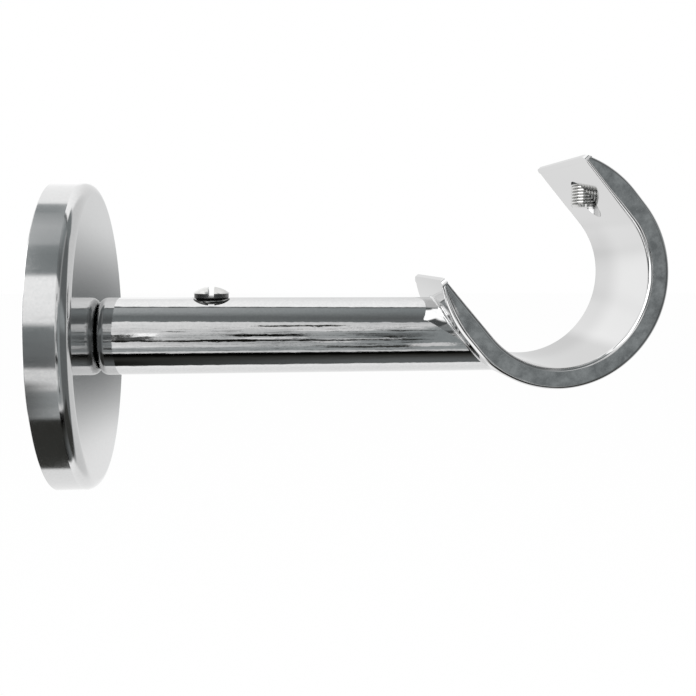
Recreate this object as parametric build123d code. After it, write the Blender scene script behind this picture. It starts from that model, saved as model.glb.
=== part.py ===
"""Curtain pole bracket: a wall plate with a spigot, a round rose, an arm and an open cup for the pole.

Millimetres. The origin is the centre of the wall face, +X runs out of the wall along the arm, +Z is up.
"""
import math
import os

from build123d import *

# Pole and cup
pole_dia = 28.0
pole_clearance = 0.4
pole_out = 79.2
pole_up = 9.85
cup_wall = 3.5
cup_width = 21.6
mouth_angle = 131.0
mouth_reach = 12.5
tip_land = 0.6
tip_corner_radius = 1.0
cup_edge_radius = 0.5

# Arm
arm_dia = 12.5
arm_end_radius = 1.3
bore_end_room = 2.0
braze_radius = 0.6

# Rose, the cover on the wall
rose_dia = 49.0
rose_depth = 6.0
rose_wall = 1.4
rose_edge_radius = 1.8

# Wall plate and its two screw holes
plate_thickness = 2.0
plate_clearance = 0.2
plate_edge_break = 0.3
wall_hole_dia = 4.5
wall_hole_spacing = 30.0
wall_hole_sink_dia = 7.6

# Spigot
spigot_dia = 7.0
spigot_reach = 26.0
spigot_flange_dia = 14.0
spigot_tenon_dia = 5.0
spigot_chamfer = 0.8

# Lock screw in the arm
lock_screw_dia = 6.0
lock_screw_from_rose = 17.8
lock_screw_stand = 2.0
lock_screw_chamfer = 0.9
lock_screw_point_dia = 4.0
lock_slot_width = 1.0
lock_slot_depth = 1.6

# Pole screw in the upper tip of the cup
pole_screw_dia = 5.0
pole_screw_from_tip = 7.8
pole_screw_length = 3.2
pole_screw_point_dia = 2.0
pole_screw_top_chamfer = 0.5
pole_slot_width = 0.8
pole_slot_depth = 1.2

# Gaps
running_gap = 0.05
seat_gap = 0.05
rose_hole_gap = 0.3

# Worked out from the above
arm_r = arm_dia / 2
spigot_r = spigot_dia / 2
seat_r = pole_dia / 2 + pole_clearance
cup_r = seat_r + cup_wall
rose_r = rose_dia / 2
rose_inner_r = rose_r - rose_wall
rose_inner_x = rose_depth - rose_wall
spigot_end_x = rose_depth + spigot_reach
arm_start_x = rose_depth + running_gap
bore_r = spigot_r + running_gap
lock_screw_x = rose_depth + lock_screw_from_rose
mouth_turn = math.radians(mouth_angle)
screw_along_mouth = mouth_reach - pole_screw_from_tip
pole_screw_offset = seat_r * math.sin(mouth_turn) + screw_along_mouth * math.cos(mouth_turn)
pole_screw_x = pole_out + pole_screw_offset
overrun = 2.0
touch_tolerance = 1e-4


def turned(points):
    """Solid of revolution about X from a closed outline of (x, radius) points."""
    return revolve(Plane.XY * make_face(Polyline(*points, close=True)), Axis.X)


def bar_x(radius, start, end):
    """Round bar along X from start to end."""
    return Plane.YZ.offset(start) * extrude(Circle(radius), end - start)


def bar_z(radius, x, low, high):
    """Upright round bar at (x, 0) from low to high."""
    return Pos(x, 0, low) * extrude(Circle(radius), high - low)


def in_cup_plane(along_mouth, across):
    """Point of the cup's section, from its distance along the mouth and across it."""
    x = pole_out + along_mouth * math.cos(mouth_turn) + across * math.sin(mouth_turn)
    z = pole_up + along_mouth * math.sin(mouth_turn) - across * math.cos(mouth_turn)
    return (x, 0, z)


def slab(outline, width):
    """Solid of a face in the XZ plane, given width centred on Y = 0."""
    return extrude(outline, width / 2, dir=(0, 1, 0), both=True)


def cup_outline():
    """Outer shape of the cup: a half circle, two short straight flanks, then arcs that close in on the tips."""
    tip_across = seat_r + tip_land
    tip_turn = math.asin(tip_across / cup_r)
    flank_end = mouth_reach - cup_r * math.cos(tip_turn)
    arc_turn = (tip_turn + math.pi / 2) / 2
    arc_along = flank_end + cup_r * math.cos(arc_turn)
    arc_across = cup_r * math.sin(arc_turn)
    lower_tip = in_cup_plane(mouth_reach, -tip_across)
    upper_tip = in_cup_plane(mouth_reach, tip_across)
    lower_bend = in_cup_plane(flank_end, -cup_r)
    upper_bend = in_cup_plane(flank_end, cup_r)
    lower_back = in_cup_plane(0, -cup_r)
    upper_back = in_cup_plane(0, cup_r)
    edges = [
        ThreePointArc(upper_bend, in_cup_plane(arc_along, arc_across), upper_tip),
        Line(upper_tip, lower_tip),
        ThreePointArc(lower_tip, in_cup_plane(arc_along, -arc_across), lower_bend),
        Line(lower_bend, lower_back),
        ThreePointArc(lower_back, in_cup_plane(-cup_r, 0), upper_back),
        Line(upper_back, upper_bend),
    ]
    return make_face(edges)


def seat_outline():
    """The space for the pole: a half circle and a parallel mouth that runs out past the tips."""
    mouth_end = mouth_reach + overrun
    lower_out = in_cup_plane(mouth_end, -seat_r)
    upper_out = in_cup_plane(mouth_end, seat_r)
    lower_in = in_cup_plane(0, -seat_r)
    upper_in = in_cup_plane(0, seat_r)
    edges = [
        Line(upper_in, upper_out),
        Line(upper_out, lower_out),
        Line(lower_out, lower_in),
        ThreePointArc(lower_in, in_cup_plane(-seat_r, 0), upper_in),
    ]
    return make_face(edges)


def make_rose():
    outer = bar_x(rose_r, 0, rose_depth)
    outer = fillet(outer.edges().group_by(Axis.X)[-1], rose_edge_radius)
    hollow = bar_x(rose_inner_r, -overrun, rose_inner_x)
    hollow = fillet(hollow.edges().group_by(Axis.X)[-1], max(rose_edge_radius - rose_wall, rose_wall / 4))
    hole = bar_x(spigot_r + rose_hole_gap, 0, rose_depth + overrun)
    return outer - hollow - hole


def make_wall_plate():
    plate = bar_x(rose_inner_r - plate_clearance, 0, plate_thickness)
    plate = chamfer(plate.edges().group_by(Axis.X)[-1], plate_edge_break)
    plate -= bar_x(spigot_tenon_dia / 2 + seat_gap, -overrun, plate_thickness + overrun)
    sink_depth = (wall_hole_sink_dia - wall_hole_dia) / 2
    for side in (-1, 1):
        hole = bar_x(wall_hole_dia / 2, -overrun, plate_thickness + overrun)
        sink = turned([
            (plate_thickness - sink_depth, 0),
            (plate_thickness - sink_depth, wall_hole_dia / 2),
            (plate_thickness, wall_hole_sink_dia / 2),
            (plate_thickness + overrun, wall_hole_sink_dia / 2),
            (plate_thickness + overrun, 0),
        ])
        plate -= Pos(0, 0, side * wall_hole_spacing / 2) * (hole + sink)
    return plate


def make_spigot():
    return turned([
        (0, 0),
        (0, spigot_tenon_dia / 2),
        (plate_thickness, spigot_tenon_dia / 2),
        (plate_thickness, spigot_flange_dia / 2),
        (rose_inner_x, spigot_flange_dia / 2),
        (rose_inner_x, spigot_r),
        (spigot_end_x - spigot_chamfer, spigot_r),
        (spigot_end_x, spigot_r - spigot_chamfer),
        (spigot_end_x, 0),
    ])


def make_cup_blank():
    return slab(cup_outline(), cup_width)


def make_cup_plan():
    """Block as wide as the cup, whose corners at the mouth are rounded as the tips' corners are."""
    length = mouth_reach + cup_r + overrun
    plan = Pos(mouth_reach - length / 2, 0) * Rectangle(length, cup_width)
    plan = fillet(plan.vertices().group_by(Axis.X)[-1], tip_corner_radius)
    along = (math.cos(mouth_turn), 0, math.sin(mouth_turn))
    across = (math.sin(mouth_turn), 0, -math.cos(mouth_turn))
    mouth_plane = Plane(origin=in_cup_plane(0, 0), x_dir=along, z_dir=across)
    return extrude(mouth_plane * plan, cup_r + overrun, both=True)


def make_pole_cup():
    blank = make_cup_blank()
    rims = blank.edges().group_by(Axis.Y)
    mouth_length = 2 * (seat_r + tip_land)
    outer_rims = [edge for edge in rims[0] + rims[-1] if abs(edge.length - mouth_length) > touch_tolerance]
    cup = fillet(outer_rims, cup_edge_radius) - slab(seat_outline(), cup_width + overrun)
    hole = bar_z(pole_screw_dia / 2 + running_gap, pole_screw_x, pole_up, pole_up + cup_r + overrun)
    return (cup & make_cup_plan()) - hole


def on_arm_surface(edge):
    """True for a curved edge that lies on the arm's round surface."""
    points = [edge @ 0.25, edge @ 0.5, edge @ 0.75]
    off_surface = max(abs(math.hypot(point.Y, point.Z) - arm_r) for point in points)
    return edge.geom_type != GeomType.LINE and off_surface < touch_tolerance


def make_arm_bar():
    """Bar with a rounded end, shaped to the cup it is brazed to, with the braze as a fillet round the seam."""
    bar = bar_x(arm_r, arm_start_x, pole_out)
    bar = fillet(bar.edges().group_by(Axis.X)[0], arm_end_radius)
    blank = make_cup_blank()
    joined = bar + blank
    seam = [edge for edge in joined.edges() if on_arm_surface(edge) and edge.center().X > lock_screw_x]
    bore = bar_x(bore_r, 0, spigot_end_x + bore_end_room)
    screw_hole = bar_z(lock_screw_dia / 2 + running_gap, lock_screw_x, 0, arm_r + overrun)
    return fillet(seam, braze_radius) - blank - bore - screw_hole


def make_grub_screw(dia, low, high, top_chamfer, point_dia, slot_width, slot_depth):
    """Upright grub screw on the Z axis with a coned point below and a slot along Y in its top."""
    radius = dia / 2
    point_height = radius - point_dia / 2
    profile = Polyline(
        (0, 0, low),
        (point_dia / 2, 0, low),
        (radius, 0, low + point_height),
        (radius, 0, high - top_chamfer),
        (radius - top_chamfer, 0, high),
        (0, 0, high),
        close=True,
    )
    screw = revolve(make_face(profile), Axis.Z)
    slot = Pos(0, 0, high) * Box(slot_width, dia + overrun, 2 * slot_depth)
    return screw - slot


def make_arm_lock_screw():
    low = spigot_r + running_gap
    high = arm_r + lock_screw_stand
    screw = make_grub_screw(
        lock_screw_dia,
        low,
        high,
        lock_screw_chamfer,
        lock_screw_point_dia,
        lock_slot_width,
        lock_slot_depth,
    )
    return Pos(lock_screw_x, 0, 0) * screw


def make_pole_screw():
    point_reach = pole_screw_offset - pole_screw_point_dia / 2
    low = pole_up + math.sqrt(seat_r**2 - point_reach**2)
    screw = make_grub_screw(
        pole_screw_dia,
        low,
        low + pole_screw_length,
        pole_screw_top_chamfer,
        pole_screw_point_dia,
        pole_slot_width,
        pole_slot_depth,
    )
    return Pos(pole_screw_x, 0, 0) * screw


nodes = {
    "wall_plate": make_wall_plate(),
    "spigot": make_spigot(),
    "rose": make_rose(),
    "arm_bar": make_arm_bar(),
    "pole_cup": make_pole_cup(),
    "arm_lock_screw": make_arm_lock_screw(),
    "pole_screw": make_pole_screw(),
}

os.makedirs("parts", exist_ok=True)
for name, solid in nodes.items():
    export_step(solid, f"parts/{name}.step")
    print(name, round(solid.volume, 2))
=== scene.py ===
import math

import bmesh
import bpy
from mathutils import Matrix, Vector
from mathutils.kdtree import KDTree


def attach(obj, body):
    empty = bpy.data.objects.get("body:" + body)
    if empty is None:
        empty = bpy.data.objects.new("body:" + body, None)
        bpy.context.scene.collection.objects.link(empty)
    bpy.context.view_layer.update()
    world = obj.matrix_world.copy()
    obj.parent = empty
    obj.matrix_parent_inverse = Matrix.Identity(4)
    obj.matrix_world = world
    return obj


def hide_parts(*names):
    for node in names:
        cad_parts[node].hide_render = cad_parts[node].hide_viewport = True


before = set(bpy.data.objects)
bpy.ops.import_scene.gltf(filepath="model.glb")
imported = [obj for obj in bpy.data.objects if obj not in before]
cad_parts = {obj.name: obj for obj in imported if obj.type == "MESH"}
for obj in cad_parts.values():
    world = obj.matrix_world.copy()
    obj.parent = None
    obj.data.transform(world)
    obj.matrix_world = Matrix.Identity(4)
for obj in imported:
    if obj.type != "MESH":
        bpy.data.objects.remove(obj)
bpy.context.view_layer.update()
mm = 0.001
nearby = 0.01  # millimetres within which two points count as level or on one ring
print("frame loaded:", len(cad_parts), "nodes")


# mesh helpers, all sizes in millimetres

def clearSelection():
    bpy.ops.object.select_all(action="DESELECT")


def turnPiece(rings, sides, axis, centre=(0, 0, 0)):
    # rings are (level along the axis, radius), each one extruded from the last
    clearSelection()
    middle = Vector(centre) * mm
    along = Vector((1, 0, 0)) if axis == "X" else Vector((0, 0, 1))
    tilt = (0, math.pi / 2, 0) if axis == "X" else (0, 0, 0)
    level, radius = rings[0]
    bpy.ops.mesh.primitive_circle_add(
        vertices=sides, radius=radius * mm, location=middle + along * level * mm, rotation=tilt)
    bpy.ops.object.transform_apply(location=True, rotation=True, scale=True)
    bpy.ops.object.mode_set(mode="EDIT")
    bpy.ops.mesh.select_all(action="SELECT")
    for nextLevel, nextRadius in rings[1:]:
        grow = nextRadius / radius
        widen = (1, grow, grow) if axis == "X" else (grow, grow, 1)
        bpy.ops.mesh.extrude_region_move(
            TRANSFORM_OT_translate={"value": along * (nextLevel - level) * mm})
        bpy.ops.transform.resize(value=widen, center_override=middle + along * nextLevel * mm)
        level, radius = nextLevel, nextRadius
    return bpy.context.object


def pickEdges(test):
    # selects the edges whose two ends both pass, in edit mode
    mesh = bmesh.from_edit_mesh(bpy.context.object.data)
    bpy.ops.mesh.select_mode(type="EDGE")
    bpy.ops.mesh.select_all(action="DESELECT")
    for edge in mesh.edges:
        edge.select_set(all(test(v.co / mm) for v in edge.verts))
    bmesh.update_edit_mesh(bpy.context.object.data)


def onRing(level, radius):
    # test for a ring of a piece turned about X
    return lambda p: abs(p.x - level) < nearby and abs(math.hypot(p.y, p.z) - radius) < nearby


def roundEdges(test, width, steps):
    pickEdges(test)
    bpy.ops.mesh.bevel(
        offset=width * mm, segments=steps, profile=0.5, affect="EDGES", clamp_overlap=False)


def closeMesh():
    bpy.ops.mesh.select_all(action="SELECT")
    bpy.ops.mesh.remove_doubles(threshold=1e-7)  # metres, only points that coincide
    bpy.ops.mesh.normals_make_consistent(inside=False)
    bpy.ops.object.mode_set(mode="OBJECT")


def useModifier(piece, kind, **values):
    bpy.context.view_layer.objects.active = piece
    modifier = piece.modifiers.new(kind.lower(), kind)
    for key, value in values.items():
        setattr(modifier, key, value)
    bpy.ops.object.modifier_apply(modifier=modifier.name)


def cutAway(piece, cutter):
    useModifier(piece, "BOOLEAN", operation="DIFFERENCE", solver="EXACT", object=cutter)
    bpy.data.objects.remove(cutter)


def roundCutter(radius, x, low, high, sides):
    clearSelection()
    bpy.ops.mesh.primitive_cylinder_add(
        vertices=sides, radius=radius * mm, depth=(high - low) * mm,
        location=(x * mm, 0, (low + high) / 2 * mm))
    return bpy.context.object


def smoothPiece(piece, angle):
    clearSelection()
    piece.select_set(True)
    bpy.context.view_layer.objects.active = piece
    bpy.ops.object.shade_smooth_by_angle(angle=math.radians(angle))


def place(piece, name, material, body, node):
    piece.name = name
    piece.data.name = name
    piece.data.materials.clear()
    piece.data.materials.append(material)
    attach(piece, body)
    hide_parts(node)
    print(name, "made,", len(piece.data.polygons), "faces")


# node helpers

def addNode(tree, kind, **values):
    node = tree.nodes.new(kind)
    for key, value in values.items():
        setattr(node, key, value)
    return node


def plug(tree, socket, value):
    # a socket is linked, a plain number or colour is set
    if isinstance(value, bpy.types.NodeSocket):
        tree.links.new(value, socket)
    else:
        socket.default_value = value


def calc(tree, operation, *values):
    node = addNode(tree, "ShaderNodeMath", operation=operation)
    for socket, value in zip(node.inputs, values):
        plug(tree, socket, value)
    return node.outputs[0]


def ramp(tree, value, fromLow, fromHigh, toLow, toHigh, kind="LINEAR"):
    node = addNode(tree, "ShaderNodeMapRange", interpolation_type=kind)
    for socket, given in zip(node.inputs, (value, fromLow, fromHigh, toLow, toHigh)):
        plug(tree, socket, given)
    return node.outputs[0]


def mixColour(tree, amount, first, second):
    node = addNode(tree, "ShaderNodeMix", data_type="RGBA")
    plug(tree, node.inputs["Factor"], amount)
    colours = [s for s in node.inputs if s.type == "RGBA"]
    plug(tree, colours[0], first)
    plug(tree, colours[1], second)
    return [s for s in node.outputs if s.type == "RGBA"][0]


# marks left by polishing and plating, used by every metal: detail and fineness of each noise
markNoise = {"Wave": (1.0, 0.5), "Grain": (3.0, 0.5), "Mottle": (5.0, 0.68)}


def makePolishMarks():
    group = bpy.data.node_groups.new("polishMarks", "ShaderNodeTree")
    for name, kind, value in (
            ("Wave Stretch", "NodeSocketVector", (1, 1, 1)),
            ("Wave Scale", "NodeSocketFloat", 200),
            ("Grain Stretch", "NodeSocketVector", (1, 1, 1)),
            ("Grain Scale", "NodeSocketFloat", 3000),
            ("Mottle Scale", "NodeSocketFloat", 300)):
        group.interface.new_socket(name, in_out="INPUT", socket_type=kind).default_value = value
    for name in markNoise:
        group.interface.new_socket(name, in_out="OUTPUT", socket_type="NodeSocketFloat")
    given = addNode(group, "NodeGroupInput")
    result = addNode(group, "NodeGroupOutput")
    where = addNode(group, "ShaderNodeTexCoord").outputs["Object"]

    for name, (detail, fine) in markNoise.items():
        texture = addNode(group, "ShaderNodeTexNoise")
        vector = where
        if name + " Stretch" in given.outputs:
            squeeze = addNode(group, "ShaderNodeVectorMath", operation="MULTIPLY")
            plug(group, squeeze.inputs[0], where)
            plug(group, squeeze.inputs[1], given.outputs[name + " Stretch"])
            vector = squeeze.outputs[0]
        plug(group, texture.inputs["Vector"], vector)
        plug(group, texture.inputs["Scale"], given.outputs[name + " Scale"])
        plug(group, texture.inputs["Detail"], detail)
        plug(group, texture.inputs["Roughness"], fine)
        plug(group, result.inputs[name], texture.outputs[0])
    return group


polishMarks = makePolishMarks()
# extra roughness where painted shade darkens thread roots and the screw hole
recessShadeRoughness = 0.3  # added in thread roots


def makeMetal(name, look):
    material = bpy.data.materials.new(name)
    material.use_nodes = True
    tree = material.node_tree
    shader = tree.nodes["Principled BSDF"]
    shader.inputs["Metallic"].default_value = 1.0
    marks = addNode(tree, "ShaderNodeGroup", node_tree=polishMarks)
    for key in ("Wave Stretch", "Wave Scale", "Grain Stretch", "Grain Scale", "Mottle Scale"):
        marks.inputs[key].default_value = look[key]
    mottle = ramp(tree, marks.outputs["Mottle"], *look["mottleSpan"], 0.0, 1.0)
    height = calc(tree, "MULTIPLY", marks.outputs["Wave"], look["waveHeight"])
    height = calc(tree, "MULTIPLY_ADD", marks.outputs["Grain"], look["grainHeight"], height)
    if "onlyOn" in look:  # marks lie on one kind of face alone
        masked = addNode(tree, "ShaderNodeAttribute", attribute_name=look["onlyOn"]).outputs["Fac"]
        mottle = calc(tree, "MULTIPLY", mottle, masked)
        height = calc(tree, "MULTIPLY", height, masked)
    colour = mixColour(tree, mottle, (*look["clean"], 1), (*look["dull"], 1))
    # painted shade: the colour darkens towards the far side of the cup, below its mouth
    if "farShade" in look:  # duller towards the far side of the cup, below its mouth
        farShade = look["farShade"]
        where = addNode(tree, "ShaderNodeTexCoord").outputs["Object"]
        apart = addNode(tree, "ShaderNodeSeparateXYZ")
        plug(tree, apart.inputs[0], where)
        along = addNode(tree, "ShaderNodeVectorMath", operation="DOT_PRODUCT")
        plug(tree, along.inputs[0], where)
        plug(tree, along.inputs[1], farShade["mouth"])
        nearEdge, farEdge = farShade["across"]
        lowEdge, highEdge = farShade["along"]
        far = ramp(tree, apart.outputs["Y"], nearEdge * mm, farEdge * mm, 0, 1, "SMOOTHSTEP")
        below = ramp(
            tree, along.outputs["Value"], lowEdge * mm, highEdge * mm, 1, 0, "SMOOTHSTEP")
        amount = calc(tree, "MULTIPLY", far, below)
        colour = mixColour(tree, amount, colour, (*farShade["colour"], 1))
    rough = ramp(tree, mottle, 0.0, 1.0, *look["roughness"])
    # painted shade: thread roots and the screw hole are darkened in colour, and made rougher
    if "recessShade" in look:  # dark, rough thread roots and screw hole
        groove = addNode(tree, "ShaderNodeAttribute", attribute_name="groove").outputs["Fac"]
        colour = mixColour(tree, groove, colour, (*look["recessShade"], 1))
        rough = calc(tree, "MULTIPLY_ADD", groove, recessShadeRoughness, rough)
    plug(tree, shader.inputs["Base Color"], colour)
    plug(tree, shader.inputs["Roughness"], rough)
    bump = addNode(tree, "ShaderNodeBump")
    bump.inputs["Strength"].default_value = 1.0
    bump.inputs["Distance"].default_value = mm
    plug(tree, bump.inputs["Height"], height)
    plug(tree, shader.inputs["Normal"], bump.outputs["Normal"])
    return material


# heights and the painted shade's edges in millimetres, scales per metre
armChrome = makeMetal("armChrome", {
    "clean": (0.60, 0.60, 0.60), "dull": (0.53, 0.533, 0.535), "roughness": (0.01, 0.025),
    "Wave Stretch": (0.3, 1, 1), "Wave Scale": 420, "waveHeight": 0.010,
    "Grain Stretch": (0.22, 1, 1), "Grain Scale": 2200, "grainHeight": 0.007,
    "Mottle Scale": 2500, "mottleSpan": (0.35, 0.65),
})
roseChrome = makeMetal("roseChrome", {
    "clean": (0.582, 0.582, 0.582), "dull": (0.55, 0.553, 0.555), "roughness": (0.08, 0.12),
    "Wave Stretch": (1, 1, 1), "Wave Scale": 160, "waveHeight": 0.001,
    "Grain Stretch": (1, 1, 1), "Grain Scale": 2200, "grainHeight": 0.0001,
    "Mottle Scale": 2200, "mottleSpan": (0.35, 0.65),
})
cupChrome = makeMetal("cupChrome", {
    "clean": (0.585, 0.585, 0.585), "dull": (0.35, 0.355, 0.358), "roughness": (0.07, 0.18),
    # recessShade is the colour of the painted shade in the screw hole
    "onlyOn": "sawnSide", "recessShade": (0.06, 0.06, 0.06),
    "Wave Stretch": (1, 1, 1), "Wave Scale": 300, "waveHeight": 0.010,
    "Grain Stretch": (1, 1, 1), "Grain Scale": 1800, "grainHeight": 0.002,
    "Mottle Scale": 620, "mottleSpan": (0.34, 0.66),
    # painted shade, darker towards the far side of the cup's seat
    "farShade": {"colour": (0.50, 0.50, 0.50), "across": (-2.0, 6.0),
             "mouth": (-0.656, 0, 0.755), "along": (-50.5, -41.5)},
})
screwSteel = makeMetal("screwSteel", {
    "clean": (0.60, 0.60, 0.59), "dull": (0.50, 0.50, 0.49), "roughness": (0.10, 0.18),
    # recessShade is the colour of the painted shade in the thread roots
    "recessShade": (0.03, 0.03, 0.03),
    "Wave Stretch": (1, 1, 1), "Wave Scale": 600, "waveHeight": 0.004,
    "Grain Stretch": (1, 1, 6), "Grain Scale": 3500, "grainHeight": 0.0015,
    "Mottle Scale": 900, "mottleSpan": (0.35, 0.65),
})
zincSteel = makeMetal("zincSteel", {
    "clean": (0.45, 0.455, 0.465), "dull": (0.36, 0.367, 0.38), "roughness": (0.30, 0.48),
    "Wave Stretch": (1, 1, 1), "Wave Scale": 140, "waveHeight": 0.01,
    "Grain Stretch": (1, 1, 1), "Grain Scale": 1800, "grainHeight": 0.004,
    "Mottle Scale": 260, "mottleSpan": (0.35, 0.65),
})
for nodeName in ("wall_plate", "spigot"):
    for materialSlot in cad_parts[nodeName].material_slots:
        materialSlot.material = zincSteel
print("metals made")


# rose, the hollow cover on the wall
rose = {
    "radius": 24.5, "depth": 6.0, "wall": 1.4, "hole": 3.8, "sides": 256,
    "edge": 1.8, "edgeSteps": 16, "inside": 0.4, "insideSteps": 3,
    "backBreak": 0.15, "holeBreak": 0.1, "breakSteps": 2, "smooth": 35,
}


def makeRose():
    skirt = rose["radius"] - rose["wall"]
    ceiling = rose["depth"] - rose["wall"]
    piece = turnPiece([
        (ceiling, rose["hole"]), (rose["depth"], rose["hole"]), (rose["depth"], rose["radius"]),
        (0, rose["radius"]), (0, skirt), (ceiling, skirt),
    ], rose["sides"], "X")
    bpy.ops.mesh.select_non_manifold(extend=False)
    bpy.ops.mesh.bridge_edge_loops()
    roundEdges(onRing(rose["depth"], rose["radius"]), rose["edge"], rose["edgeSteps"])
    roundEdges(onRing(ceiling, skirt), rose["inside"], rose["insideSteps"])
    for radius in (rose["radius"], skirt):
        roundEdges(onRing(0, radius), rose["backBreak"], rose["breakSteps"])
    for level in (rose["depth"], ceiling):
        roundEdges(onRing(level, rose["hole"]), rose["holeBreak"], rose["breakSteps"])
    closeMesh()
    smoothPiece(piece, rose["smooth"])
    useModifier(piece, "WEIGHTED_NORMAL", keep_sharp=True)
    place(piece, "roseCover", roseChrome, "wall_fixing", "rose")


makeRose()


# cup, an open ring that thins out to its two tips
cup = {
    "out": 79.2, "up": 9.85, "seat": 14.4, "outer": 17.9, "width": 21.6,
    "mouthAngle": 131.0, "mouthReach": 12.5, "tipLand": 0.6,
    "tipSteps": 28, "flankSteps": 2, "backSteps": 72,
    "tipCorner": 1.0, "cornerSteps": 8,
    "rimOuter": 0.7, "rimInner": 0.8, "rimShare": 0.42, "rimSteps": 6,
    "rimArmSide": 0.95, "rimUpperTip": 0.45, "rimFade": 5.0,
    # holeShade is how much painted shade darkens the faces inside the screw hole
    "screwX": 87.0, "screwHole": 2.55, "holeTop": 22, "holeSides": 96, "holeShade": 0.3,
    "sideFacing": 0.98, "smooth": 35,
}
mouthTurn = math.radians(cup["mouthAngle"])
tipTurn = math.asin((cup["seat"] + cup["tipLand"]) / cup["outer"])
flankEnd = cup["mouthReach"] - cup["outer"] * math.cos(tipTurn)
widestRim = max(cup["rimArmSide"], cup["rimInner"])


def cupPoint(along, across):
    # from distances along the mouth and across it to x and z
    x = cup["out"] + along * math.cos(mouthTurn) + across * math.sin(mouthTurn)
    z = cup["up"] + along * math.sin(mouthTurn) - across * math.cos(mouthTurn)
    return x, z


def cupStations():
    # pairs of points on the outer and inner line, as (along, across), from tip to tip
    upper = []
    quarter = [math.pi / 2 * step / cup["cornerSteps"] for step in range(cup["cornerSteps"])]
    tipAlong = [cup["mouthReach"] - cup["tipCorner"] * (1 - math.cos(turn)) for turn in quarter]
    cornerEnd = math.acos((cup["mouthReach"] - cup["tipCorner"] - flankEnd) / cup["outer"])
    for step in range(cup["tipSteps"]):
        turn = cornerEnd + (math.pi / 2 - cornerEnd) * step / cup["tipSteps"]
        tipAlong.append(flankEnd + cup["outer"] * math.cos(turn))
    for along in tipAlong:
        across = math.sqrt(cup["outer"] ** 2 - (along - flankEnd) ** 2)
        upper.append(((along, across), (along, cup["seat"])))
    for step in range(cup["flankSteps"]):
        along = flankEnd * (1 - step / cup["flankSteps"])
        upper.append(((along, cup["outer"]), (along, cup["seat"])))
    for step in range(cup["backSteps"] + 1):
        turn = math.pi / 2 * (1 + step / cup["backSteps"])
        upper.append(tuple(
            (r * math.cos(turn), r * math.sin(turn)) for r in (cup["outer"], cup["seat"])))
    lower = [tuple((a, -b) for a, b in pair) for pair in upper[:-1]]
    return lower + upper[::-1]


def makeCup():
    stations = cupStations()
    count = len(stations)
    clearSelection()
    bpy.ops.mesh.primitive_grid_add(
        x_subdivisions=count - 1, y_subdivisions=1, size=cup["outer"] * mm,
        location=(0, -cup["width"] / 2 * mm, 0), rotation=(math.pi / 2, 0, 0))
    bpy.ops.object.transform_apply(location=True, rotation=True, scale=True)
    piece = bpy.context.object
    strip = sorted(piece.data.vertices, key=lambda v: (round(v.co.z, 6), v.co.x))
    for index, vertex in enumerate(strip):
        pair = stations[index % count]
        x, z = cupPoint(*pair[index // count])
        vertex.co = Vector((x, -cup["width"] / 2, z)) * mm
    bpy.ops.object.mode_set(mode="EDIT")
    bpy.ops.mesh.select_all(action="SELECT")
    bpy.ops.mesh.extrude_region_move(TRANSFORM_OT_translate={"value": (0, cup["width"] * mm, 0)})
    closeMesh()
    roundTips(piece)
    weighRims(piece, stations)
    useModifier(piece, "BEVEL", limit_method="WEIGHT", width=widestRim * mm,
                segments=cup["rimSteps"], use_clamp_overlap=False)
    cutAway(piece, roundCutter(
        cup["screwHole"], cup["screwX"], cup["up"], cup["up"] + cup["holeTop"], cup["holeSides"]))
    smoothPiece(piece, cup["smooth"])
    useModifier(piece, "WEIGHTED_NORMAL", keep_sharp=True)
    sides = piece.data.attributes.new("sawnSide", "FLOAT", "FACE")
    # faces inside the screw hole are marked for painted shade
    holes = piece.data.attributes.new("groove", "FLOAT", "FACE")
    for face in piece.data.polygons:
        sides.data[face.index].value = 1.0 if abs(face.normal.y) > cup["sideFacing"] else 0.0
        corners = [piece.data.vertices[i].co / mm for i in face.vertices]
        reach = max(math.hypot(p.x - cup["screwX"], p.y) for p in corners)
        inHole = reach < cup["screwHole"] + nearby
        holes.data[face.index].value = cup["holeShade"] if inHole else 0.0
    place(piece, "poleCup", cupChrome, "arm", "pole_cup")


def roundTips(piece):
    # the corners of the tips, seen across the mouth
    corner = cup["tipCorner"]
    for vertex in piece.data.vertices:
        point = vertex.co / mm
        x, z = point.x - cup["out"], point.z - cup["up"]
        along = x * math.cos(mouthTurn) + z * math.sin(mouthTurn)
        past = min(max(along - (cup["mouthReach"] - corner), 0), corner)
        half = cup["width"] / 2 - corner + math.sqrt(corner ** 2 - past ** 2)
        vertex.co.y = math.copysign(half, point.y) * mm


def weighRims(piece, stations):
    # bevel weight of each rim edge, less where the wall is thin
    spots = KDTree(2 * len(stations))
    shares = []
    for outer, inner in stations:
        wall = math.dist(outer, inner)
        rimOuter, rimInner = cup["rimOuter"], cup["rimInner"]
        alongFlank = min(max(inner[0] / cup["rimFade"], 0), 1)
        if inner[1] > 0:
            rimInner += (cup["rimUpperTip"] - rimInner) * alongFlank
        else:
            rimOuter += (cup["rimArmSide"] - rimOuter) * alongFlank
        for point, rim in ((outer, rimOuter), (inner, rimInner)):
            x, z = cupPoint(*point)
            spots.insert((x, 0, z), len(shares))
            shares.append(min(rim, cup["rimShare"] * wall) / widestRim)
    spots.balance()
    weights = piece.data.attributes.new("bevel_weight_edge", "FLOAT", "EDGE")
    for edge in piece.data.edges:
        ends = [piece.data.vertices[i].co / mm for i in edge.vertices]
        found = [spots.find((p.x, 0, p.z))[1] for p in ends]
        level = abs(ends[0].y - ends[1].y) < nearby
        sameLine = found[0] % 2 == found[1] % 2  # outer points have even numbers
        if level and sameLine:
            weights.data[edge.index].value = (shares[found[0]] + shares[found[1]]) / 2


makeCup()


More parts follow.
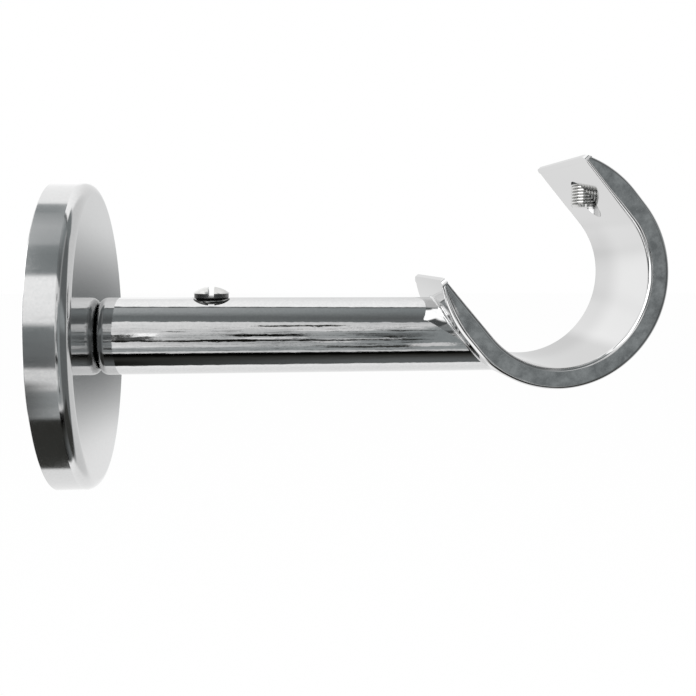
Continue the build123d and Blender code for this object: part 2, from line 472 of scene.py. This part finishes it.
# arm, a bored bar shaped to the cup, with the braze as a small fillet round the seam
arm = {
    "radius": 6.25, "start": 6.05, "end": 1.3, "endSteps": 10, "sides": 256,
    "bore": 3.55, "boreEnd": 34.0, "boreBreak": 0.15, "breakSteps": 2,
    "screwX": 23.8, "screwHole": 3.05, "screwRoom": 4, "holeOver": 2, "holeSides": 128,
    "braze": 0.3, "brazeSteps": 8, "tuck": 0.2, "smooth": 35,
    "seamStart": 55.0, "seamGap": 0.1,  # where the seam's rings wait before they are shaped
    "roundWithin": 0.003,
}


def onCupLine(z, offset):
    # x on the wall side of the cup's outer line moved out by offset, and the normal there
    reach = cup["outer"] + offset
    bendX, bendZ = cupPoint(flankEnd, -reach)
    backX, backZ = cupPoint(0, -reach)
    if backZ < z < bendZ:
        x = backX + (bendX - backX) * (z - backZ) / (bendZ - backZ)
        return x, Vector((-math.sin(mouthTurn), 0, math.cos(mouthTurn)))
    centreX, centreZ = cupPoint(flankEnd if z > backZ else 0, 0)
    x = centreX - math.sqrt(reach ** 2 - (z - centreZ) ** 2)
    return x, Vector((x - centreX, 0, z - centreZ)).normalized()


def seamPoint(y, z, step):
    # point of the braze's section at this turn round the arm
    outward = Vector((0, y, z)).normalized()
    centre = outward * (arm["radius"] + arm["braze"])
    centre.x, cupNormal = onCupLine(centre.z, arm["braze"])
    part = min(step / arm["brazeSteps"], 1)
    point = centre - outward.slerp(cupNormal, part) * arm["braze"]
    if step > arm["brazeSteps"]:
        point -= cupNormal * arm["tuck"]
    return point


def makeArm():
    seamStart, gap = arm["seamStart"], arm["seamGap"]
    levels = [arm["start"]]
    levels += [arm["screwX"] + side * arm["screwRoom"] for side in (-1, 1)]
    levels += [seamStart + gap * step for step in range(arm["brazeSteps"] + 2)]
    rings = [(arm["boreEnd"], arm["bore"]), (arm["start"], arm["bore"])]
    rings += [(level, arm["radius"]) for level in levels]
    piece = turnPiece(rings, arm["sides"], "X")
    bpy.ops.object.mode_set(mode="OBJECT")
    for vertex in piece.data.vertices:
        point = vertex.co / mm
        if point.x > seamStart - gap / 2:
            vertex.co = seamPoint(point.y, point.z, round((point.x - seamStart) / gap)) * mm
    bpy.ops.object.mode_set(mode="EDIT")
    bpy.ops.mesh.select_all(action="SELECT")
    bpy.ops.mesh.fill_holes(sides=0)
    roundEdges(onRing(arm["start"], arm["radius"]), arm["end"], arm["endSteps"])
    roundEdges(onRing(arm["start"], arm["bore"]), arm["boreBreak"], arm["breakSteps"])
    closeMesh()
    holeTop = arm["radius"] + arm["holeOver"]
    cutAway(piece, roundCutter(arm["screwHole"], arm["screwX"], 0, holeTop, arm["holeSides"]))
    smoothPiece(piece, arm["smooth"])
    straightenNormals(piece)
    place(piece, "armBar", armChrome, "arm", "arm_bar")


def straightenNormals(piece):
    # faces of the round bar get true radial normals, so the long reflections stay straight
    mesh = piece.data
    normals = [Vector((0, 0, 0))] * len(mesh.loops)
    for face in mesh.polygons:
        corners = [mesh.vertices[i].co / mm for i in face.vertices]
        off = max(abs(math.hypot(p.y, p.z) - arm["radius"]) for p in corners)
        if off < arm["roundWithin"]:
            for loop, corner in zip(face.loop_indices, corners):
                normals[loop] = Vector((0, corner.y, corner.z)).normalized()
    mesh.normals_split_custom_set(normals)


makeArm()


# the two grub screws, with real threads and a slot
# neck is (low, high, radius), recessShade is (steepness, start, most) of the painted shade in the
# thread roots
lockScrew = {
    "x": 23.8, "low": 3.55, "high": 8.02, "radius": 3.0, "point": 2.0, "dome": 4.67,
    "root": 2.46, "pitch": 1.0, "phase": 0.05, "grooveShare": 0.97, "plainFrom": 6.25,
    "neck": (6.25, 6.92, 2.78), "recessShade": (2.2, 0.15, 1.0),
    "slotWidth": 1.0, "slotDepth": 1.6, "sides": 96,
}
poleScrew = {
    "x": 87.0, "low": 21.5, "high": 25.74, "radius": 2.5, "point": 2.1, "dome": 7.0,
    "root": 2.24, "pitch": 0.5, "phase": 0.0, "grooveShare": 0.6, "plainFrom": 30,
    "neck": (0, 0, 0), "recessShade": (1.4, 0.35, 0.35),
    "slotWidth": 0.8, "slotDepth": 1.2, "sides": 128,
}
bothScrews = {
    "rootShare": 0.12, "runOut": 0.3, "levelsPerPitch": 20, "topLevels": (0.04, 0.012, 0),
    "smallestRing": 0.15, "bladeLength": 3, "smooth": 40,
}


def screwBlank(screw, z):
    # radius of the blank before the thread is cut: coned point below, domed top
    cone = screw["point"] + (z - screw["low"])
    depth = min(max(screw["high"] - z, 0), screw["dome"])
    dome = math.sqrt(depth * (2 * screw["dome"] - depth))
    return max(min(screw["radius"], cone, dome), bothScrews["smallestRing"])


def threadRadius(screw, z, turn):
    # thread with a flat crest and root, which runs out below the plain top
    part = (z / screw["pitch"] - turn / (2 * math.pi) + screw["phase"]) % 1
    rootShare = bothScrews["rootShare"]
    ridge = (abs(part - 0.5) * 2 - rootShare) / (screw["grooveShare"] - rootShare)
    runOut = (z - screw["plainFrom"]) / bothScrews["runOut"]
    ridge = min(max(ridge, runOut, 0), 1)
    neckLow, neckHigh, neckRadius = screw["neck"]
    if neckLow < z < neckHigh:
        return neckRadius
    return screw["root"] + (screw["radius"] - screw["root"]) * ridge


def makeScrew(screw, name, body, node):
    length = screw["high"] - screw["low"]
    steps = round(length / screw["pitch"] * bothScrews["levelsPerPitch"])
    levels = [screw["low"] + length * (step / steps) for step in range(steps)]
    levels += [screw["high"] - below for below in bothScrews["topLevels"]]
    levels.sort()
    rings = [(z, screwBlank(screw, z)) for z in levels]
    piece = turnPiece(rings, screw["sides"], "Z", (screw["x"], 0, 0))
    bpy.ops.mesh.select_all(action="SELECT")
    bpy.ops.mesh.fill_holes(sides=0)
    closeMesh()
    for vertex in piece.data.vertices:
        x, y, z = vertex.co.x / mm - screw["x"], vertex.co.y / mm, vertex.co.z / mm
        reach = math.hypot(x, y)
        shrink = min(1, threadRadius(screw, z, math.atan2(y, x)) / reach)
        vertex.co = Vector((screw["x"] + x * shrink, y * shrink, z)) * mm
    clearSelection()
    bpy.ops.mesh.primitive_cube_add(size=1, location=(screw["x"] * mm, 0, screw["high"] * mm))
    blade = bpy.context.object
    bladeSize = (screw["slotWidth"], screw["radius"] * bothScrews["bladeLength"],
                 screw["slotDepth"] * 2)  # half of it stands above the screw
    bpy.ops.transform.resize(
        value=tuple(size * mm for size in bladeSize), center_override=blade.location)
    bpy.context.view_layer.update()
    cutAway(piece, blade)
    smoothPiece(piece, bothScrews["smooth"])
    darkenGrooves(piece, screw)
    place(piece, name, screwSteel, body, node)


def darkenGrooves(piece, screw):
    # painted shade: the deeper a point lies in a thread root, the darker its colour
    grooves = piece.data.attributes.new("groove", "FLOAT", "POINT")
    for vertex in piece.data.vertices:
        point = vertex.co / mm
        reach = math.hypot(point.x - screw["x"], point.y)
        depth = (screwBlank(screw, point.z) - reach) / (screw["radius"] - screw["root"])
        steep, start, most = screw["recessShade"]
        grooves.data[vertex.index].value = min(max(depth * steep - start, 0), 1) * most


makeScrew(lockScrew, "lockScrew", "lock_screw", "arm_lock_screw")
makeScrew(poleScrew, "poleScrew", "clamp_screw", "pole_screw")


# camera at the photograph's place
view = {
    "at": (29.861, -138.174, 14.139), "down": 6.727, "right": 6.764, "roll": 0.286,
    "lens": 43.13, "sensor": 36, "nearest": 0.001,
}
clearSelection()
bpy.ops.object.camera_add(
    location=Vector(view["at"]) * mm,
    rotation=[math.radians(a) for a in (90 - view["down"], -view["roll"], -view["right"])])
camera = bpy.context.object
camera.name = "photoCamera"
camera.data.sensor_width = view["sensor"]
camera.data.lens = view["lens"]
camera.data.clip_start = view["nearest"]
bpy.context.scene.camera = camera
bpy.context.scene.view_settings.view_transform = "Standard"
print("camera placed")


# studio: white surroundings with grey and black cards for the metal to reflect
# stops are (turn round the arm from the front up, grey the metal shows): one list for each end
# of the arm, and one for the rose's rim, which looks further to the left
studio = {
    "wallEnd": [
        (-180, 0.73), (-158, 0.80), (-110, 0.85), (-95.8, 0.90), (-94.2, 0.08), (-80, 0.08),
        (-66, 0.16), (-59, 0.08), (-57, 0.0), (-47.8, 0.0), (-46.4, 0.79), (-42.5, 0.79),
        (-41, 0.53), (-31, 0.62), (-26.5, 0.87), (-20, 0.79), (-12, 0.78), (8, 0.72),
        (10, 0.82), (28, 0.80), (46.2, 0.85), (47.8, 0.42), (65, 0.40), (80, 0.58),
        (96.5, 0.61), (98, 0.36), (101.6, 0.36), (103.2, 0.93), (126, 0.90), (150, 0.83),
        (162, 0.77), (180, 0.73),
    ],
    "poleEnd": [
        (-180, 0.73), (-158, 0.80), (-110, 0.83), (-94.8, 0.88), (-93.2, 0.36), (-80, 0.35),
        (-66, 0.22), (-57, 0.08), (-55, 0.0), (-48.3, 0.0), (-46.7, 0.76), (-43.8, 0.74),
        (-42, 0.57), (-30, 0.50), (-21, 0.50), (-9, 0.46), (0, 0.50), (10, 0.48),
        (22, 0.60), (28, 0.80), (46.2, 0.72), (47.8, 0.38), (59, 0.34), (66, 0.37),
        (85, 0.47), (97, 0.49), (98.5, 0.36), (101.6, 0.36), (103.2, 0.92), (130, 0.88),
        (160, 0.78), (180, 0.73),
    ],
    "rim": [
        (-180, 0.73), (-150, 0.80), (-105, 0.82), (-103.5, 0.19), (-54, 0.17), (-53, 0.62),
        (-46, 0.60), (-45, 0.55), (-33, 0.58), (-31.5, 0.81), (-17, 0.81), (-15.5, 0.34),
        (0, 0.40), (13, 0.44), (14.5, 0.85), (30, 0.89), (48, 0.90), (50, 0.46),
        (65, 0.45), (72, 0.49), (74.5, 0.60), (90, 0.64), (104, 0.56), (106, 0.50),
        (115, 0.55), (117, 0.88), (150, 0.86), (180, 0.73),
    ],
    # side angles between which one list turns into the next
    "rimTo": (-11.3, -9.7), "poleFrom": (-9.0, 10.5),
    # upper bands lean a little along the arm
    "lean": 0.32, "leanMiddle": -3.6, "leanSide": (-12, 14), "leanTurn": (0, 40),
    # bands near the front wander a little
    "wobble": 2.0, "wobbleScale": 9.0, "wobbleNoise": 6.0, "wobbleTurn": (30, 60),
    # cards: low and high turn, left and right side angle, softness of both, grey
    "rightWall": (-300, 300, 22, 120, 1, 5, 0.74),
    "cards": [
        (12, 34, 30, 75, 6, 8, 0.52),
        (90, 112, 14, 45, 4, 3, 0.43),
        (-97, -50, 19, 50, 2, 3, 0.20),
        (-30, 30, 12.3, 29, 3, 1.0, 0.50),
        (-300, 300, -120, -26, 1, 6, 0.84),
        (148, 300, -45, -21, 12, 5, 0.88),
        (-300, -148, -45, -21, 12, 5, 0.88),
        (50, 132, -23, -16.2, 6, 0.8, 0.95),
        (86, 98, -120, -27, 2, 2, 0.42),
        (-120, -62, -120, -27, 4, 4, 0.95),
        (-62, -42, -120, -41, 3, 2, 0.30),
        (-28, 90, -90, -44, 4, 4, 1.25),
        (40, 84, -90, -25, 4, 3, 1.25),
        (4, 38, -44, -25, 3, 2, 0.36),
        (-30, 4, -44, -20, 3, 3, 0.58),
        (-54, -26, -36, -14, 3, 3, 0.28),
        (150, 170, -22, -3, 4, 4, 0.875),
        (-167, -154, -20, -9, 3, 2.5, 0.825),
    ],
    # short streaks along the arm, laid out as the cards are, with ragged edges
    "armStreaks": [
        (30.5, 35.5, 0.6, 6.4, 0.8, 0.5, 0.15),
        (17, 25, 3.0, 9.0, 1.5, 1.0, 0.80),
        (16.5, 19, -5.7, -4.3, 0.8, 0.5, 0.30),
        (15, 18.5, 9.5, 12.6, 0.8, 0.6, 0.26),
        (-3, 8, 8.0, 12.2, 2.0, 1.0, 0.38),
        (-4, 2, 9.1, 10.2, 1.0, 0.3, 0.12),
        (2.4, 8.9, -1.4, 3.8, 1.0, 0.8, 0.02),
        (-5, -1.5, -1.0, 3.6, 0.8, 0.6, 0.82),
        (-8.5, -5.0, 5.0, 10.4, 0.8, 0.8, 0.70),
        (-12, 10, -9.2, -8.0, 1.5, 0.4, 0.24),
        (-12, 3, -8.2, -6.6, 1.5, 0.4, 0.28),
        (4, 14, -7.6, -6.2, 1.5, 0.5, 0.98),
        (-13.5, -5.8, -4.2, 1.2, 0.8, 1.2, 0.03),
        (-12, -7.5, -9.4, 5.2, 0.8, 0.6, 0.05),
        (-12.4, -9.2, 5.0, 12.2, 0.8, 0.6, 0.10),
        (-18, -14, 4.4, 7.2, 0.8, 0.6, 0.76),
        (-34, -29, 5.4, 11.2, 1.0, 0.8, 0.18),
        (-32, -22, 11.0, 14.0, 1.5, 0.5, 0.76),
    ],
    "ragged": {"stretch": (1.6, 0.12), "most": 5.0},
    "noiseDetail": 4.0,
    # dim room in front on the right, seen in the rose's rounded edge
    "room": {"side": (13, 33), "edge": (-0.10, 0.08), "bow": 0.28, "grey": 0.355},
    # fine dark streaks over the light middle of the arm, fewer towards the wall
    "streaks": {
        "turn": (-46, 44), "lowSoft": 8, "highSoft": 25, "side": (-9, 11), "sideSoft": 1,
        "atWall": 0.3, "stretch": (0.30, 0.50), "span": (0.54, 0.64), "most": 0.75, "dark": 0.10,
    },
    # soft grey patch far behind, seen in the rose's face only, less tall on the right
    "patch": {
        "side": 0.20, "height": -0.10, "wide": 0.15, "tall": 0.17, "fan": (0.213, 0.163, 1.55),
        "fade": (0.15, 1.05), "grey": 0.335, "nearest": 0.01,
    },
    "plain": 0.95,
}
metalGrey = 0.565  # what the metals reflect, on the whole
tint = {
    "coolMiddle": 0.45, "coolSpread": 0.3, "coolRed": 0.08, "coolBlue": 0.02,
    "warmBelow": 0.3, "warmBlue": 0.2,
}


def cardLight(grey):
    # light a card gives so that the metal shows this grey on screen (sRGB curve)
    # middle greys are a little cool, blacks a little warm
    light = ((grey + 0.055) / 1.055) ** 2.4 / metalGrey
    cool = max(0, 1 - abs(grey - tint["coolMiddle"]) / tint["coolSpread"])
    warm = max(0, 1 - grey / tint["warmBelow"])
    red = light * (1 - tint["coolRed"] * cool)
    blue = light * (1 + tint["coolBlue"] * cool - tint["warmBlue"] * warm)
    return red, light, blue, 1


def makeStudio():
    world = bpy.data.worlds.new("studio")
    bpy.context.scene.world = world
    world.use_nodes = True
    world.cycles.sampling_method = "NONE"  # the metal finds the cards by reflection alone
    tree = world.node_tree
    background = tree.nodes["Background"]
    direction = addNode(tree, "ShaderNodeSeparateXYZ")
    plug(tree, direction.inputs[0], addNode(tree, "ShaderNodeTexCoord").outputs["Generated"])
    x, y, z = direction.outputs
    toDegrees = 180 / math.pi
    front = calc(tree, "MULTIPLY", y, -1)
    turn = calc(tree, "MULTIPLY", calc(tree, "ARCTAN2", z, front), toDegrees)
    side = calc(tree, "MULTIPLY", calc(tree, "ARCSINE", x), toDegrees)

    noise = addNode(tree, "ShaderNodeTexNoise", noise_dimensions="1D")
    plug(tree, noise.inputs["W"], calc(tree, "MULTIPLY", x, studio["wobbleScale"]))
    plug(tree, noise.inputs["Scale"], studio["wobbleNoise"])
    wobble = calc(tree, "MULTIPLY", calc(tree, "SUBTRACT", noise.outputs[0], 0.5), studio["wobble"])
    near = ramp(tree, calc(tree, "ABSOLUTE", turn), *studio["wobbleTurn"], 1, 0)
    turn = calc(tree, "MULTIPLY_ADD", wobble, near, turn)
    left, right = studio["leanSide"]
    middle = studio["leanMiddle"]
    lean = ramp(tree, side, left, right, left - middle, right - middle)
    lean = calc(tree, "MULTIPLY", lean, studio["lean"])
    leaned = calc(tree, "MULTIPLY_ADD", lean, ramp(tree, turn, *studio["leanTurn"], 0, 1), turn)

    def bandColours(stops, angle):
        blend = addNode(tree, "ShaderNodeValToRGB")
        plug(tree, blend.inputs[0], ramp(tree, angle, -180, 180, 0, 1))
        elements = blend.color_ramp.elements
        elements.remove(elements[1])
        elements[0].position = 0
        elements[0].color = cardLight(stops[0][1])
        for stop, grey in stops[1:]:
            elements.new((stop + 180) / 360).color = cardLight(grey)
        return blend.outputs[0]

    alongArm = ramp(tree, side, *studio["poleFrom"], 0, 1)
    wallEnd = bandColours(studio["wallEnd"], leaned)
    poleEnd = bandColours(studio["poleEnd"], leaned)
    colour = mixColour(tree, alongArm, wallEnd, poleEnd)
    pastRim = ramp(tree, side, *studio["rimTo"], 0, 1)
    colour = mixColour(tree, pastRim, bandColours(studio["rim"], turn), colour)

    def multiply(*values):
        product = values[0]
        for value in values[1:]:
            product = calc(tree, "MULTIPLY", product, value)
        return product

    def cover(under, angle, card):
        low, high, left, right, turnSoft, sideSoft, grey = card
        covered = multiply(
            ramp(tree, angle, low - turnSoft, low + turnSoft, 0, 1, "SMOOTHSTEP"),
            ramp(tree, angle, high - turnSoft, high + turnSoft, 1, 0, "SMOOTHSTEP"),
            ramp(tree, side, left - sideSoft, left + sideSoft, 0, 1, "SMOOTHSTEP"),
            ramp(tree, side, right - sideSoft, right + sideSoft, 1, 0, "SMOOTHSTEP"))
        return mixColour(tree, covered, under, cardLight(grey))

    def stretchedNoise(stretch):
        spread = addNode(tree, "ShaderNodeCombineXYZ")
        plug(tree, spread.inputs[0], multiply(side, stretch[0]))
        plug(tree, spread.inputs[1], multiply(turn, stretch[1]))
        texture = addNode(tree, "ShaderNodeTexNoise", noise_dimensions="2D")
        plug(tree, texture.inputs["Vector"], spread.outputs[0])
        plug(tree, texture.inputs["Scale"], 1.0)
        plug(tree, texture.inputs["Detail"], studio["noiseDetail"])
        return texture.outputs[0]

    colour = cover(colour, turn, studio["rightWall"])

    room = studio["room"]
    forward = calc(tree, "SUBTRACT", multiply(calc(tree, "POWER", z, 2), room["bow"]), y)
    mask = multiply(
        ramp(tree, forward, *room["edge"], 0, 1, "SMOOTHSTEP"),
        ramp(tree, side, *room["side"], 0, 1, "SMOOTHSTEP"))
    colour = mixColour(tree, mask, colour, cardLight(room["grey"]))

    for card in studio["cards"]:
        colour = cover(colour, turn, card)
    ragged = calc(tree, "SUBTRACT", stretchedNoise(studio["ragged"]["stretch"]), 0.5)
    raggedTurn = calc(tree, "MULTIPLY_ADD", ragged, studio["ragged"]["most"], turn)
    for card in studio["armStreaks"]:
        colour = cover(colour, raggedTurn, card)

    streaks = studio["streaks"]
    low, high = streaks["turn"]
    left, right = streaks["side"]
    grain = stretchedNoise(streaks["stretch"])
    mask = multiply(
        ramp(tree, turn, low, low + streaks["lowSoft"], 0, 1),
        ramp(tree, turn, high - streaks["highSoft"], high, 1, 0),
        ramp(tree, side, left, right, streaks["atWall"], 1),
        ramp(tree, side, right, right + streaks["sideSoft"], 1, 0),
        ramp(tree, grain, *streaks["span"], 0, streaks["most"], "SMOOTHSTEP"))
    colour = mixColour(tree, mask, colour, cardLight(streaks["dark"]))

    patch = studio["patch"]
    depth = calc(tree, "MAXIMUM", y, patch["nearest"])
    sideways = calc(tree, "DIVIDE", x, depth)
    across = calc(tree, "SUBTRACT", sideways, patch["side"])
    across = calc(tree, "POWER", calc(tree, "DIVIDE", across, patch["wide"]), 2)
    upward = calc(tree, "SUBTRACT", calc(tree, "DIVIDE", z, depth), patch["height"])
    upward = calc(tree, "POWER", calc(tree, "DIVIDE", upward, patch["tall"]), 2)
    fanLeft, fanRight, fanMost = patch["fan"]
    fan = ramp(tree, sideways, fanRight, fanLeft, fanMost, 0)
    upward = calc(tree, "MULTIPLY_ADD", multiply(upward, upward), fan, upward)
    away = calc(tree, "SQRT", calc(tree, "ADD", across, upward))
    mask = ramp(tree, away, *patch["fade"], 1, 0, "SMOOTHSTEP")
    colour = mixColour(tree, mask, colour, cardLight(patch["grey"]))

    # the cards show in reflections alone, and the camera sees white
    rays = addNode(tree, "ShaderNodeLightPath").outputs
    shiny = calc(tree, "MAXIMUM", rays["Is Glossy Ray"], rays["Is Transmission Ray"])
    plain = studio["plain"]
    colour = mixColour(tree, shiny, (plain, plain, plain, 1), colour)
    colour = mixColour(tree, rays["Is Camera Ray"], colour, (1, 1, 1, 1))
    plug(tree, background.inputs["Color"], colour)


makeStudio()

# pale floor well below, as the bracket hangs on a wall, and one soft lamp, in metres
floorLook = {"size": 6.0, "height": -0.15, "colour": 0.9, "roughness": 0.9, "glow": 0.93}
lampLook = {"at": (0.05, -0.15, 0.7), "size": 0.6, "power": 1.5}


def makeFloor():
    clearSelection()
    bpy.ops.mesh.primitive_plane_add(size=floorLook["size"], location=(0, 0, floorLook["height"]))
    floor = bpy.context.object
    floor.name = "floor"
    floor.visible_glossy = False
    material = bpy.data.materials.new("paleFloor")
    material.use_nodes = True
    tree = material.node_tree
    shader = tree.nodes["Principled BSDF"]
    shader.inputs["Base Color"].default_value = (floorLook["colour"],) * 3 + (1,)
    shader.inputs["Roughness"].default_value = floorLook["roughness"]
    shader.inputs["Specular IOR Level"].default_value = 0.0
    glow = addNode(tree, "ShaderNodeEmission")
    glow.inputs["Strength"].default_value = 1.0
    blend = addNode(tree, "ShaderNodeMixShader")
    seen = addNode(tree, "ShaderNodeLightPath").outputs["Is Camera Ray"]
    plug(tree, blend.inputs[0], calc(tree, "MULTIPLY", seen, floorLook["glow"]))
    plug(tree, blend.inputs[1], shader.outputs[0])
    plug(tree, blend.inputs[2], glow.outputs[0])
    plug(tree, tree.nodes["Material Output"].inputs["Surface"], blend.outputs[0])
    floor.data.materials.append(material)


makeFloor()
clearSelection()
bpy.ops.object.light_add(type="AREA", location=lampLook["at"])
lamp = bpy.context.object
lamp.name = "softLamp"
lamp.data.size = lampLook["size"]
lamp.data.energy = lampLook["power"]
lamp.visible_glossy = False
print("studio made")
